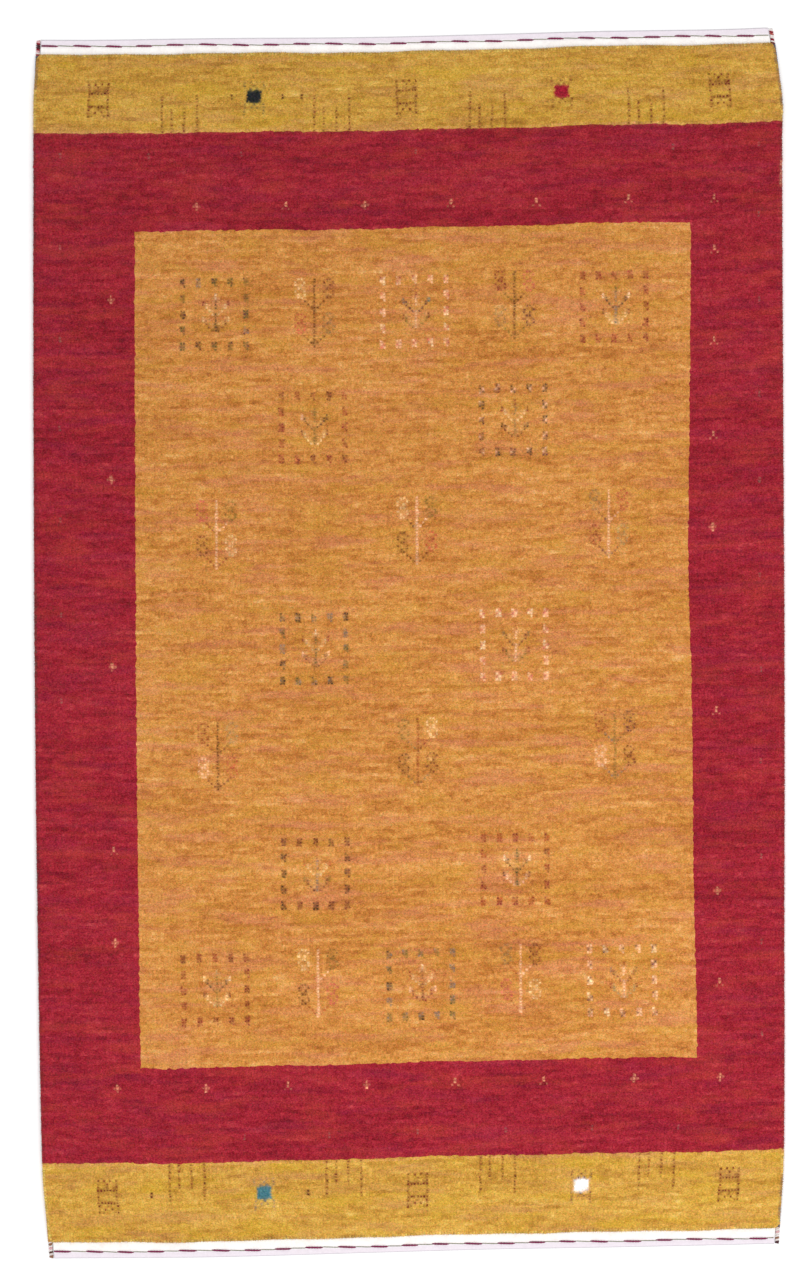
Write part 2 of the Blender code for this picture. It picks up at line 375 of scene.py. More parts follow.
design = {
    # middle knot and row of each small tree, then its four leaves, its stem and its branches
    "trees": (
        (88, 82, "cream", "umber", "brick", "drab", "walnut", "walnut"),
        (151, 81, "wine", "rose", "drab", "plum", "walnut", "olive"),
        (57, 152, "rose", "olive", "umber", "cream", "shell", "wine"),
        (120, 152, "cream", "olive", "walnut", "brick", "shell", "walnut"),
        (181, 151, "drab", "brick", "russet", "sage", "shell", "plum"),
        (57, 222, "russet", "sage", "shell", "brick", "walnut", "umber"),
        (120, 222, "olive", "cream", "walnut", "umber", "russet", "drab"),
        (182, 221, "russet", "plum", "shell", "umber", "olive", "slate"),
        (88, 294, "cream", "olive", "walnut", "rose", "shell", "clay"),
        (152, 294, "drab", "umber", "rose", "cream", "shell", "clay"),
    ),
    # middle knot and row of each framed plant, its ticks' yarns and their spot, then the plant's
    # own yarns: top, upper buds left and right, upper stalks, lower buds, lower stalks, stem
    "plants": (
        (57, 82, "green", "plum", "milk", "wine", "wine", "cream", "cream", "umber", "ink"),
        (120, 82, "pale", "rose", "wine", "slate", "teal", "plum", "umber", "olive", "shell"),
        (183, 82, "red", "rust", "moss", "milk", "milk", "ink", "umber", "cream", "slate"),
        (88, 118, "red", "rust", "olive", "shell", "ink", "ink", "umber", "cream", "olive"),
        (151, 117, "dark", "shell", "wine", "wine", "russet", "cream", "ink", "umber", "drab"),
        (88, 188, "green", "slate", "milk", "russet", "wine", "cream", "shell", "umber", "moss"),
        (151, 188, "pale", "rose", "clay", "drab", "drab", "umber", "wine", "olive", "shell"),
        (88, 259, "dark", "umber", "rust", "clay", "clay", "cream", "olive", "umber", "slate"),
        (151, 259, "red", "clay", "moss", "milk", "milk", "ink", "plum", "shell", "moss"),
        (56, 295, "red", "russet", "sage", "cream", "milk", "ink", "umber", "cream", "olive"),
        (121, 295, "green", "slate", "milk", "wine", "clay", "cream", "shell", "wine", "umber"),
        (184, 295, "pale", "plum", "clay", "slate", "olive", "umber", "russet", "sage", "shell"),
    ),
    # middle knot and row of the ladders, then of the filled ones with their block and edge yarns
    "ladders": ((20, 14), (117, 14), (216, 14), (20, 360), (119, 360), (218, 360)),
    "blocks": (
        (69, 14, "black", "pine", "sand"), (166, 14, "cherry", "bark", "sand"),
        (70, 360, "lake", "slate", "sand"), (171, 360, "white", "plum", "blush"),
    ),
    "combsHead": (40, 88, 137, 187),  # first knot of each comb, rising from the border
    "combsFoot": (40, 90, 139, 189),
    "combSteps": (0, 3, 7, 11),
    "crossesTop": (51, 79, 104, 131, 158, 187, 214),
    "crossesFoot": (24, 52, 78, 103, 131, 159, 187, 214),
    "crossesLeft": (77, 134, 193, 251, 280),
    "crossesRight": (64, 93, 123, 152, 210, 267, 296),
    "specksTop": (8, 36, 65, 120, 201, 228),
    "specksFoot": (64, 91, 119, 147, 174, 201),
    "specksLeft": (61, 90, 118, 147, 177, 204),
    "specksRight": (54, 81, 111, 138, 168, 198, 227, 257, 284, 313),
    "thinEdges": (
        (0, 0, 11, "dusk"), (235, 0, 21, "dusk"), (235, 358, 372, "dusk"), (0, 166, 208, "pine"),
        (0, 26, 60, "plum"), (235, 36, 46, "shell"), (0, 250, 290, "plum"),
    ),
    "panelSpecks": ((62, 14), (84, 14), (78, 14), (34, 360), (84, 360)),
}

# where the mustard panels, the madder border and the amber field meet
zones = {
    "panelHead": 25, "panelFoot": 350,
    "fieldTop": 56, "fieldFoot": 320, "fieldLeft": 32, "fieldRight": 207,
}
dye = np.zeros((knotRows, knotsAcross, 4))


def tie(column, row, yarn, strength=0.93):
    # one knot in another yarn; some take the dye paler, and no two are quite alike
    if 0 <= column < knotsAcross and 0 <= row < knotRows:
        shade = 1.0 + draws.normal(0.0, 0.16)
        faded = min(1.0, strength * draws.uniform(0.72, 1.10))
        dye[row, column, :3] = np.clip(np.array(linear(yarns[yarn])[:3]) * shade, 0, 1)
        dye[row, column, 3] = faded


def tieChart(chart, column, row, key, strength=0.93):
    top = row - len(chart) // 2
    left = column - len(chart[0]) // 2
    for down, line in enumerate(chart):
        for right, letter in enumerate(line):
            if letter in key:
                tie(left + right, top + down, key[letter], strength)


def tieCross(column, row):
    chart = crossCharts[draws.integers(len(crossCharts))]
    tieChart(chart, column, row, {"x": "blush"}, 0.58)
    tieChart(chart, column, row, {"y": "blush"}, 0.28)


# painted highlight: the sheared edges of the mustard panels are tied paler, standing in for the light their
# turned-over flanks catch, and the row that meets the madder is pinker
for row in (*range(zones["panelHead"]), *range(zones["panelFoot"], knotRows)):
    for column in (0, knotsAcross - 1):
        tie(column, row, "straw", 0.40)
# painted highlight: the madder's last two knots on the right are tied pinker, standing in for the light on
# the pile's turned-over edge
for row in range(zones["panelHead"], zones["panelFoot"]):
    tie(knotsAcross - 1, row, "rose", draws.uniform(0.05, 0.35))
    tie(knotsAcross - 2, row, "rose", draws.uniform(0.0, 0.20))
# where the last knots are thin, the selvedge's own yarn shows between them
for column, firstRow, lastRow, yarn in design["thinEdges"]:
    for row in range(firstRow, lastRow):
        tie(column, row, yarn, draws.uniform(0.12, 0.42))
for column in range(knotsAcross):
    for row, yarn, strength in (
        # painted highlight: the first and last rows are tied paler in straw, standing in for the light on
        # the pile's turned-over ends
        (0, "straw", 0.34), (knotRows - 1, "straw", 0.34),
        (zones["panelHead"] - 1, "blush", 0.30), (zones["panelFoot"], "blush", 0.30),
        (zones["panelHead"], "wine", 0.34), (zones["panelFoot"] - 1, "wine", 0.24),
    ):
        tie(column, row, yarn, strength * draws.uniform(0.5, 1.2))

for column, row, upLeft, upRight, lowLeft, lowRight, stem, branch in design["trees"]:
    key = {"m": upLeft, "n": upRight, "q": lowLeft, "r": lowRight, "s": stem}
    key.update(a=branch, b=stem, c=branch, d=branch)
    for letter in "mnqr":
        for down, line in enumerate(treeChart):
            # the knots inside a leaf and just round it take a little of its colour
            for right, own in enumerate(line):
                near = line[max(right - 1, 0):right + 2]
                if own == "." and letter in near:
                    tie(column - 6 + right, row - 11 + down, key[letter], 0.13)
    tieChart(treeChart, column, row, key, 0.60)
for column, row, tick, tickSpot, top, budLeft, budRight, stalk, lowBud, lowStalk, stem in design["plants"]:
    key = {"t": top, "u": budLeft, "v": budRight, "a": stalk, "b": stalk, "s": stem}
    key.update(l=lowBud, m=lowBud, c=lowStalk, d=lowStalk)
    tieChart(plantChart, column, row, {"h": "cream"}, 0.20)
    tieChart(plantChart, column, row, key, 0.62)
    for step in range(5):
        places = [(step, 0), (step, 4)] + ([(0, step), (4, step)] if 0 < step < 4 else [])
        for across, down in places:
            chart = tickCharts[draws.integers(len(tickCharts))]
            tickYarn = tickYarns[tick][draws.integers(len(tickYarns[tick]))]
            left, top = column - 10 + 5 * across, row - 10 + 5 * down
            tieChart(chart, left, top, {"x": tickYarn, "y": tickSpot}, 0.64)
for column, row in design["ladders"]:
    tieChart(ladderChart, column, row, {"x": "bark", "y": "bark"}, 0.72)
    tieChart(ladderChart, column, row, {"z": "bark"}, 0.42)
for column, row, block, edge, halo in design["blocks"]:
    tieChart(blockChart, column, row, {"h": halo}, 0.22)
    tieChart(blockChart, column, row, {"x": edge}, 0.60)
    tieChart(blockChart, column, row, {"z": edge}, 0.36)
    tieChart(blockChart, column, row, {"w": block}, 0.75)
    tieChart(blockChart, column, row, {"y": block}, 1.25)
for firsts, start, stop, step in (
    (design["combsHead"], 24, 12, -1), (design["combsFoot"], 350, 362, 1),
):
    for first in firsts:
        for number, offset in enumerate(design["combSteps"]):
            reach = abs(stop - start) - (4 if number in (1, 2) else 0)
            for down in range(reach):
                tie(first + offset, start + step * down, "bark", (0.66, 0.40)[down % 2])
            tie(first + offset, start + step * (reach + 1), "clay", 0.22)
crosses = [(column, 48) for column in design["crossesTop"]]
crosses += [(column, 326) for column in design["crossesFoot"]]
crosses += [(24, row) for row in design["crossesLeft"]]
crosses += [(214, row) for row in design["crossesRight"]]
for column, row in crosses:
    tieCross(column, row)
specks = [(column, 32, "slate", 0.36) for column in design["specksTop"]]
specks += [(column, 342, "slate", 0.36) for column in design["specksFoot"]]
specks += [(8, row, "slate", 0.36) for row in design["specksLeft"]]
specks += [(228, row, "slate", 0.36) for row in design["specksRight"]]
specks += [(column, row, "walnut", 0.8) for column, row in design["panelSpecks"]]
for column, row, yarn, strength in specks:
    tieChart(("x", "x"), column, row, {"x": yarn}, strength)
print("design charted:", int((dye[..., 3] > 0).sum()), "motif knots")


def groundWool(column, row):
    # 0 mustard, 1 madder, 2 amber
    wool = np.ones_like(column, dtype=np.int64)
    wool[(row < zones["panelHead"]) | (row >= zones["panelFoot"])] = 0
    inField = (column >= zones["fieldLeft"]) & (column < zones["fieldRight"])
    inField &= (row >= zones["fieldTop"]) & (row < zones["fieldFoot"])
    wool[inField] = 2
    return wool


# Hand-spun wool, dyed in small pots and sheared: matt, hairy, streaked row by row where one
# hank gave out and the next began

wools = {
    "mustardWool": {
        "stops": ((0.0, "#885C1E"), (0.3, "#AE7E2E"), (0.5, "#C0923C"), (0.7, "#CCA24A"), (1.0, "#E2C074")),
        "warm": "#B88054", "warmAmount": 0.40, "sharp": "#BE9A24", "sharpAmount": 0.40, "thread": "#8E5A20",
    },
    "madderWool": {
        "stops": ((0.0, "#5A0818"), (0.3, "#801020"), (0.5, "#921A2A"), (0.7, "#A02634"), (1.0, "#BA4A4A")),
        "warm": "#7E1A40", "warmAmount": 0.24, "sharp": "#A8382C", "sharpAmount": 0.40, "thread": "#6A0A24",
    },
    "amberWool": {
        "stops": ((0.0, "#86491A"), (0.3, "#AC6A2C"), (0.5, "#C0803C"), (0.7, "#CE924E"), (1.0, "#E4B67C")),
        "warm": "#C07458", "warmAmount": 0.42, "sharp": "#BE8E30", "sharpAmount": 0.36, "thread": "#A05A20",
    },
}
weave = {
    # knots across and rows along that keep one tone. Two rows that touch differ, so the row's
    # own tone and the single thread's change within a row's height
    "row": (13.0, 0.31),
    "patch": (5.0, 1.7),
    "hank": (60.0, 9.0),
    "warmPatch": (26.0, 4.0),
    "sharpPatch": (20.0, 5.0),
    "thread": (17.0, 0.23),
    "broadShares": (0.48, 0.62, 0.42),  # of row, patch and hank in a knot's tone
    "fineShares": (0.18, 0.55, 0.0),    # of the knot itself and its fibres
    "middle": 0.625,                    # half of all the shares, less a half
    # from and to which tone each shows, and how strongly
    "patchShown": (0.46, 0.72),
    "threadShown": (0.60, 0.72, 0.0, 0.32),
    "dyeShown": (0.04, 0.60),
    "dyeShade": (0.0, 1.0, 0.72, 1.28),
    # painted light: how much brighter the wool is made towards the foot, and across to the right
    "footwardPaintedLight": (0.0, float(knotRows), 0.0, 0.14),
    "rightwardPaintedLight": (0.0, float(knotsAcross), 0.93, 0.99),
    "weft": (0.15, 0.55, 0.75, 0.0),
    "fibre": 0.0011,       # metres; the fibres are finer, drawn as coarse as they need to show
    "fleckAcross": 0.60,   # knots
    "fleckRows": 0.40,
    "fleckShare": 1.5,
    "fleckLift": 0.06,
    "fleckHue": 0.42,
}


def dyedWool(name, wool, backSide=False):
    material, tree = newMaterial(name + ("Back" if backSide else ""))
    knots = addNode(tree, "UVMap", uv_map="knots").outputs["UV"]
    cut = addNode(tree, "SeparateXYZ", {"Vector": knots}).outputs
    wholeRow = computed(tree, "FLOOR", cut["Y"])
    oneKnot = addNode(tree, "CombineXYZ", {"X": computed(tree, "FLOOR", cut["X"]), "Y": wholeRow}).outputs[0]
    rowPlace = addNode(tree, "CombineXYZ", {"X": cut["X"], "Y": wholeRow}).outputs[0]

    def spread(place, across, rows, detail, shift):
        # noise that keeps its tone over so many knots across and rows along
        sized = addNode(tree, "Mapping", {
            "Vector": place, "Location": (shift, shift * 1.7, 0.0), "Scale": (1 / across, 1 / rows, 1.0),
        })
        return addNode(tree, "TexNoise", {
            "Vector": sized.outputs[0], "Scale": 1.0, "Detail": detail, "Roughness": 0.6,
        }, noise_dimensions="2D").outputs[0]

    def shared(tones, shares):
        joined = addNode(tree, "CombineXYZ", dict(zip("XYZ", tones))).outputs[0]
        return addNode(tree, "VectorMath", {0: joined, 1: shares}, operation="DOT_PRODUCT").outputs["Value"]

    def multiplyAdd(first, second, third):
        inputs = {0: first, 1: second, 2: third}
        return addNode(tree, "VectorMath", inputs, operation="MULTIPLY_ADD").outputs[0]

    rowTone = spread(rowPlace, *weave["row"], 2.0, 3.1)
    patchTone = spread(knots, *weave["patch"], 3.0, 11.0)
    hankTone = spread(knots, *weave["hank"], 2.0, 27.0)
    warmTone = spread(knots, *weave["warmPatch"], 3.0, 51.0)
    sharpTone = spread(knots, *weave["sharpPatch"], 3.0, 83.0)
    threadTone = spread(rowPlace, *weave["thread"], 1.0, 131.0)
    knotTone = addNode(tree, "TexWhiteNoise", {"Vector": oneKnot}, noise_dimensions="2D").outputs["Value"]
    place = addNode(tree, "TexCoord").outputs["Object"]
    fibre = addNode(tree, "TexNoise", {
        "Vector": place, "Scale": 1 / weave["fibre"], "Detail": 2.0, "Roughness": 0.7,
    }).outputs[0]
    broad = shared((rowTone, patchTone, hankTone), weave["broadShares"])
    fine = shared((knotTone, fibre), weave["fineShares"])
    tone = computed(tree, "SUBTRACT", computed(tree, "ADD", broad, fine), weave["middle"])
    ramp = addNode(tree, "ValToRGB", {"Fac": tone})
    setStops(ramp, wool["stops"])
    colour = ramp.outputs["Color"]
    for source, hexCode, amount in (
        (warmTone, wool["warm"], wool["warmAmount"]), (sharpTone, wool["sharp"], wool["sharpAmount"]),
    ):
        share = remapped(tree, source, *weave["patchShown"], 0.0, amount, interpolation_type="SMOOTHSTEP")
        colour = blended(tree, share, colour, linear(hexCode))
    threadShare = remapped(tree, threadTone, *weave["threadShown"])
    colour = blended(tree, threadShare, colour, linear(wool["thread"]))
    motif = addNode(tree, "Attribute", attribute_name="dye").outputs
    shaded = scaled(tree, motif["Color"], remapped(tree, tone, *weave["dyeShade"]))
    colour = blended(tree, remapped(tree, motif["Alpha"], *weave["dyeShown"]), colour, shaded)
    # tuft ends of every shade that the hank had, finer than a knot
    fleckPlace = addNode(tree, "Mapping", {
        "Vector": knots, "Scale": (1 / weave["fleckAcross"], 1 / weave["fleckRows"], 1.0),
    }).outputs[0]
    fleckNoise = addNode(tree, "TexNoise", {
        "Vector": fleckPlace, "Scale": 1.0, "Detail": 2.0, "Roughness": 0.75,
    }, noise_dimensions="2D").outputs
    flecks = blended(tree, weave["fleckHue"], fleckNoise[0], fleckNoise["Color"])
    share, lift = weave["fleckShare"], weave["fleckLift"]
    factor = multiplyAdd(flecks, (share,) * 3, (1 - share / 2,) * 3)
    colour = multiplyAdd(colour, factor, multiplyAdd(flecks, (lift,) * 3, (-lift / 2,) * 3))
    # painted light: the wool is made a little brighter towards the foot and the right, as a key light from
    # there would show it
    footwardPaintedLight = remapped(tree, cut["Y"], *weave["footwardPaintedLight"])
    rightwardPaintedLight = remapped(tree, cut["X"], *weave["rightwardPaintedLight"])
    colour = scaled(tree, colour, computed(tree, "ADD", rightwardPaintedLight, footwardPaintedLight))
    bumpHeight = fibre
    if backSide:
        # the cotton weft shows as a pale line between the rows of knot collars
        collar = computed(tree, "MULTIPLY", computed(tree, "FRACT", cut["Y"]), math.pi)
        bumpHeight = computed(tree, "SINE", collar)
        colour = blended(tree, remapped(tree, bumpHeight, *weave["weft"]), colour, linear("#D8CDB8"))
    addSurface(tree, {
        "Base Color": colour, "Normal": bumped(tree, bumpHeight, 0.45, 0.0008), "Roughness": 0.92,
        "Specular IOR Level": 0.12, "Sheen Weight": 0.12, "Sheen Roughness": 0.55,
        "Sheen Tint": linear("#F6E6CC"),
    })
    return material


pileWools = [dyedWool(name, wool) for name, wool in wools.items()]
backWools = [dyedWool(name, wool, True) for name, wool in wools.items()]
print("wools dyed")


def knotAt(places):
    # column and row of the knot at each place of the grid
    column = np.clip(np.floor(places[:, 0]), 0, knotsAcross - 1).astype(np.int64)
    row = np.clip(np.floor(places[:, 1]), 0, knotRows - 1).astype(np.int64)
    return column, row


def knotAttributes(mesh, gridPlaces, tips=None):
    # gives each face its ground wool and each corner its place on the knot grid. The dye is the
    # knot's own at the tips, and between them the tufts' fibres mix it with the neighbours'
    column, row = knotAt(faceMiddles(mesh, gridPlaces))
    if tips is None:
        layer = mesh.attributes.new("dye", "FLOAT_COLOR", "FACE")
        layer.data.foreach_set("color", dye[row, column].ravel())
    else:
        mixed = np.zeros((len(gridPlaces), 4))
        for stepAcross, stepDown in ((-0.5, -0.5), (0.5, -0.5), (-0.5, 0.5), (0.5, 0.5)):
            nearColumn, nearRow = knotAt(gridPlaces + (stepAcross, stepDown))
            near = dye[nearRow, nearColumn]
            mixed[:, :3] += near[:, :3] * near[:, 3:]
            mixed[:, 3] += near[:, 3]
        mixed[:, :3] /= np.maximum(mixed[:, 3:], 1e-9)
        mixed[:, 3] = (mixed[:, 3] / 4) ** 2
        own = knotAt(gridPlaces)
        mixed[tips] = dye[own[1], own[0]][tips]
        layer = mesh.attributes.new("dye", "FLOAT_COLOR", "POINT")
        layer.data.foreach_set("color", mixed.ravel())
    mesh.polygons.foreach_set("material_index", groundWool(column, row))
    writeMap(mesh, "knots", gridPlaces[cornerVertices(mesh)])


def bakeMap(mesh, shares):
    # a plain map over the whole piece, for images baked onto it
    low, high = shares.min(axis=0), shares.max(axis=0)
    flat = 0.01 + 0.98 * (shares - low) / np.maximum(high - low, 1e-9)
    writeMap(mesh, "OFBake", flat[cornerVertices(mesh)])


# The pile: every knot is one tuft, cut into three lengths of the rug

pileSettings = {
    "height": 0.0120,
    "parts": (("pileFoot", 250, 375), ("pileMiddle", 125, 250), ("pileHead", 0, 125)),
    "dip": 0.0007,       # how far the surface drops between tufts
    "tip": 0.0002,       # how far a tuft stands over the mean height
    "ragged": 0.00030,
    "rimFree": 0.4,      # share of that on the rim
    "astray": (2.2, 1.8),  # how much more tips and dips stray sideways
    "lean": 0.0005,      # the pile leans to the foot
    "rim": ((0.0, 0.0078), (0.0012, 0.0100), (0.0030, 0.0114), (0.0060, 0.0120)),
    "walls": ((0.0026, 0.0056, 0.0013, 0.0050), (0.0072, 0.0019, 0.0080, 0.0019)),
    "cornerRadius": 0.006,
    "plan": (0.92, 1.465),  # mean width and length
    "lumps": ((0.00035, 0.310, 0.430, 0.4), (0.00025, 0.190, 0.260, 2.1), (0.00020, 0.530, 0.170, 4.0)),
}


def softCorners(across, along):
    # rounds the plan's corners by drawing the outer tufts in, and gives each its way to the rim
    radius = pileSettings["cornerRadius"]
    width, length = pileSettings["plan"]
    toSide = np.minimum(across, 1 - across) * width
    toEnd = np.minimum(along, 1 - along) * length
    p = np.clip(1 - toSide / radius, 0, 1)
    q = np.clip(1 - toEnd / radius, 0, 1)
    roundP = p * np.sqrt(1 - q * q / 2)
    roundQ = q * np.sqrt(1 - p * p / 2)
    moved = (p - roundP) * radius, (q - roundQ) * radius
    rimPlace = radius * (1 - np.minimum(np.hypot(roundP, roundQ), 1))
    inward = np.where(across < 0.5, moved[0], -moved[0]), np.where(along < 0.5, moved[1], -moved[1])
    return inward, rimPlace


def pileTop(across, along):
    # place and height of the pile's surface, without its tufts
    inward, rimPlace = softCorners(across, along)
    x, y = pilePoint(across, along)
    heights = np.interp(rimPlace, *zip(*pileSettings["rim"]))
    lumpy = sum(
        high * np.sin(tau * x / wide + phase) * np.cos(tau * y / long + phase)
        for high, wide, long, phase in pileSettings["lumps"]
    )
    return x + inward[0], y + inward[1], heights + lumpy * (heights / pileSettings["height"]) ** 2


def pilePart(name, firstRow, lastRow):
    rows = lastRow - firstRow
    bm = bmesh.new()
    bmesh.ops.create_grid(bm, x_segments=knotsAcross, y_segments=rows, size=0.5)
    tufts = list(bm.faces)
    rim = openEdges(bm.edges)
    for level in (-1, -2):
        made = bmesh.ops.extrude_edge_only(bm, edges=rim)["geom"]
        raiseVerts(made, level)
        rim = openEdges(made)
    bmesh.ops.edgeloop_fill(bm, edges=rim)
    for vert in bmesh.ops.poke(bm, faces=tufts)["verts"]:
        vert.co.z = 1
    bmesh.ops.recalc_face_normals(bm, faces=bm.faces)
    mesh = meshFrom(bm, name)

    grid = readPoints(mesh)
    level = np.round(grid[:, 2]).astype(int)
    across = grid[:, 0] + 0.5
    along = 1 - (firstRow + (0.5 - grid[:, 1]) * rows) / knotRows
    gridPlaces = np.column_stack([across * knotsAcross, (1 - along) * knotRows])
    x, y, z = pileTop(across, along)
    atSide = (across < 1e-6) | (across > 1 - 1e-6)
    onRim = atSide | (along < 1e-6) | (along > 1 - 1e-6)
    seed = np.random.default_rng(firstRow + 5)
    free = np.where(onRim, pileSettings["rimFree"], 1.0)
    ragged = seed.normal(0, pileSettings["ragged"], (len(grid), 3)) * free[:, None]
    cutLine = (level == 0) & ~onRim & (np.abs(grid[:, 1]) > 0.5 - 1e-6)
    ragged[cutLine] = 0
    tuft = level == 1
    astray = np.where(tuft, *pileSettings["astray"])
    x = x + ragged[:, 0] * astray
    y = y + ragged[:, 1] * astray - pileSettings["lean"] * tuft
    z = z + ragged[:, 2] + np.where(tuft, pileSettings["tip"], np.where(onRim, 0.0, -pileSettings["dip"]))
    for number, (sideInset, sideHeight, endInset, endHeight) in enumerate(pileSettings["walls"], 1):
        wall = level == -number
        wallX, wallY = pilePoint(across, along, sideInset, endInset)
        inward = softCorners(across, along)[0]
        x[wall] = (wallX + inward[0])[wall]
        y[wall] = (wallY + inward[1])[wall]
        z[wall] = np.where(atSide, sideHeight, endHeight)[wall]
    writePoints(mesh, np.column_stack([x, y, z]))
    knotAttributes(mesh, gridPlaces, tuft)
    bakeMap(mesh, np.column_stack([x, y]))
    piece = addPiece(name, mesh, pileWools)
    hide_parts("pile")
    return piece


tuftSettings = {
    "spacing": 0.0011, "rows": 3, "long": 0.0042, "wide": 0.00062, "tip": 0.00018, "lean": 0.55,
    "stray": 0.22, "depth": 0.0004, "rowDepth": 0.0016, "sunk": 0.0016, "raised": 0.0002,
}


def rimTufts():
    # loose tuft ends all round the pile's sheared edge: closed slips of wool, each its knot's colour
    seed = np.random.default_rng(71)
    width, length = pileSettings["plan"][0], knotRows * knotSize
    runs = []
    for row in range(tuftSettings["rows"]):
        for side in ("left", "right", "foot", "head"):
            count = int((length if side in ("left", "right") else width) / tuftSettings["spacing"])
            share = (np.arange(count) + seed.uniform(0.2, 0.8, count)) / count
            share = np.clip(share, 0.004, 0.996)
            # the rows of ends stand at different depths behind the rim
            depth = tuftSettings["depth"] + tuftSettings["rowDepth"] * row
            inner = depth / (width if side in ("left", "right") else length)
            fixed = np.full(count, inner if side in ("left", "foot") else 1 - inner)
            runs.append(np.column_stack([fixed, share] if side in ("left", "right") else [share, fixed]))
    places = np.concatenate(runs)
    across, along = places[:, 0], places[:, 1]
    x, y, z = pileTop(across, along)
    toSide = np.minimum(across, 1 - across) * width
    toEnd = np.minimum(along, 1 - along) * length
    outX = np.where(toSide < toEnd, np.where(across < 0.5, -1.0, 1.0), 0.0)
    outY = np.where(toSide < toEnd, 0.0, np.where(along < 0.5, -1.0, 1.0))
    outX = outX * tuftSettings["lean"] + seed.normal(0, tuftSettings["stray"], len(x))
    outY = outY * tuftSettings["lean"] + seed.normal(0, tuftSettings["stray"], len(x))
    reach = tuftSettings["long"] * seed.uniform(0.7, 1.1, len(x))
    bm = bmesh.new()
    bmesh.ops.create_cone(
        bm, segments=3, cap_ends=True, radius1=tuftSettings["wide"], radius2=tuftSettings["tip"], depth=1.0,
    )
    slip = meshFrom(bm, "woolSlip")
    shape = readPoints(slip)
    sides = [tuple(face.vertices) for face in slip.polygons]
    bpy.data.meshes.remove(slip)
    way = np.column_stack([outX, outY, np.ones(len(x))])
    way /= np.linalg.norm(way, axis=1)[:, None]
    first = np.cross((0.0, 1.0, 0.0), way)
    first /= np.linalg.norm(first, axis=1)[:, None]
    second = np.cross(way, first)
    middles = np.column_stack([x, y, z - tuftSettings["sunk"]]) + way * tuftSettings["raised"]
    points = middles[:, None] + shape[None, :, 0:1] * first[:, None]
    points = points + shape[None, :, 1:2] * second[:, None]
    points = points + (shape[None, :, 2] * reach[:, None])[..., None] * way[:, None]
    faces = [tuple(spot * len(shape) + vert for vert in side) for spot in range(len(x)) for side in sides]
    mesh = bpy.data.meshes.new("rimTufts")
    mesh.from_pydata(points.reshape(-1, 3).tolist(), [], faces)
    owner = np.repeat(np.arange(len(x)), len(shape))
    gridPlaces = np.column_stack([across * knotsAcross, (1 - along) * knotRows])[owner]
    knotAttributes(mesh, gridPlaces, np.ones(len(owner), dtype=bool))
    flat = points.reshape(-1, 3)
    bakeMap(mesh, flat[:, :2] + flat[:, 2:] * 0.3)
    piece = addPiece("rimTufts", mesh, pileWools)
    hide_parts("pile")


pileParts = [pilePart(*part) for part in pileSettings["parts"]]
rimTufts()
print("pile cut:", sum(len(piece.data.polygons) for piece in pileParts), "faces")

# The knotted back: what shows of the same knots from below

backSettings = {
    "thick": 0.0014, "sideInset": 0.0064, "endInset": 0.0064, "ragged": 0.00008, "under": 0.00012,
}


def knottedBack():
    bm = bmesh.new()
    bmesh.ops.create_grid(bm, x_segments=knotsAcross, y_segments=knotRows, size=0.5)
    made = bmesh.ops.extrude_edge_only(bm, edges=openEdges(bm.edges))["geom"]
    raiseVerts(made, 1)
    bmesh.ops.edgeloop_fill(bm, edges=openEdges(made))
    bmesh.ops.recalc_face_normals(bm, faces=bm.faces)
    mesh = meshFrom(bm, "knottedBack")
    grid = readPoints(mesh)
    across, along = grid[:, 0] + 0.5, grid[:, 1] + 0.5
    foot = rugPlan["footBand"] + backSettings["endInset"]
    head = rugPlan["headBand"] + backSettings["endInset"]
    x, y = rugPoint(across, along, backSettings["sideInset"], foot, head)
    uneven = np.random.default_rng(3).normal(0, backSettings["ragged"], len(grid))
    under = backSettings["under"] + np.abs(uneven)
    z = np.where(grid[:, 2] > 0.5, backSettings["thick"], under)
    writePoints(mesh, np.column_stack([x, y, z]))
    knotAttributes(mesh, np.column_stack([across * knotsAcross, (1 - along) * knotRows]))
    bakeMap(mesh, np.column_stack([x, y]))
    piece = addPiece("knottedBack", mesh, backWools)
    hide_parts("ground_weave")
    return piece


back = knottedBack()
print("back knotted")

# The white bands: plain-woven cotton with its end turned under

bandSettings = {
    "thick": 0.0015, "clearance": 0.0003, "hemDepth": 0.0170, "foldSteps": 8, "columns": 472,
    "rampBefore": 0.0010, "rampUnder": 0.0060, "sideInset": 0.0063, "threadPitch": 0.0018, "rib": 0.00012,
    "width": 0.91, "freeEdge": 0.0012, "hemSteps": 8, "flatSteps": 14,
    "bakeGap": 0.06,  # between the two faces in the plain map
    "crossingShade": (0.0, 0.6, 0.95, 1.0),
    "grain": (0.3, 0.7, 0.96, 1.02),
    # painted shade on the fold: its colour, from where to where along the cloth it fades, and how strong it
    # is
    "paintedFoldShade": (("#E2D6E2", 0.0236, 0.0290, 0.75), ("#6E6474", 0.0176, 0.0192, 0.90)),
}


